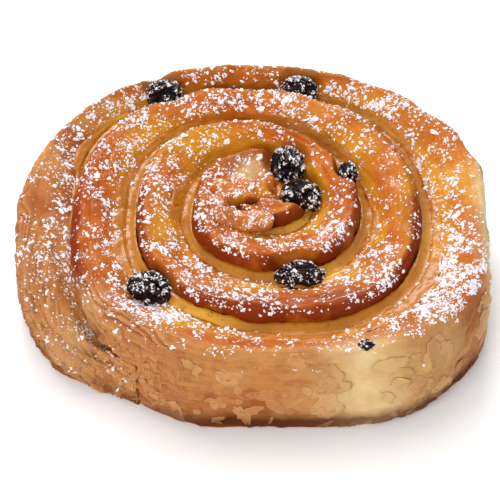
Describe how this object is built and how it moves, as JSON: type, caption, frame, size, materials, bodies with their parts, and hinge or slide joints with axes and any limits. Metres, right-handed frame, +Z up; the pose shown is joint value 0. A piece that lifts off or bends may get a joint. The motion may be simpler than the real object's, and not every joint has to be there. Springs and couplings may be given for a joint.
{
  "type": "danish pastry",
  "caption": "Flat spiral-rolled sweet pastry with a custard filling showing between the turns and raisins pressed into the grooves.",
  "frame": {"origin": "centre of the bounding box in the plan, on the flat baked base", "axes": "+Z up through the spiral; +X along the longest way across, towards the flat side where it touched its neighbour in the oven; -Y towards the side near the strip's outer end"},
  "size_m": [0.1164, 0.1014, 0.0296],
  "materials": {
    "baked_dough": "baked golden brown dough with a sugar glaze; stands in for food",
    "custard": "baked yellow custard; stands in for food",
    "raisin": "dark wrinkled dried fruit; stands in for food"
  },
  "bodies": {
    "root": {"dough": "baked_dough", "custard": "custard", "raisin_1": "raisin", "raisin_2": "raisin", "raisin_3": "raisin", "raisin_4": "raisin", "raisin_5": "raisin", "raisin_6": "raisin", "raisin_7": "raisin", "raisin_8": "raisin", "raisin_9": "raisin"}
  },
  "joints": []
}
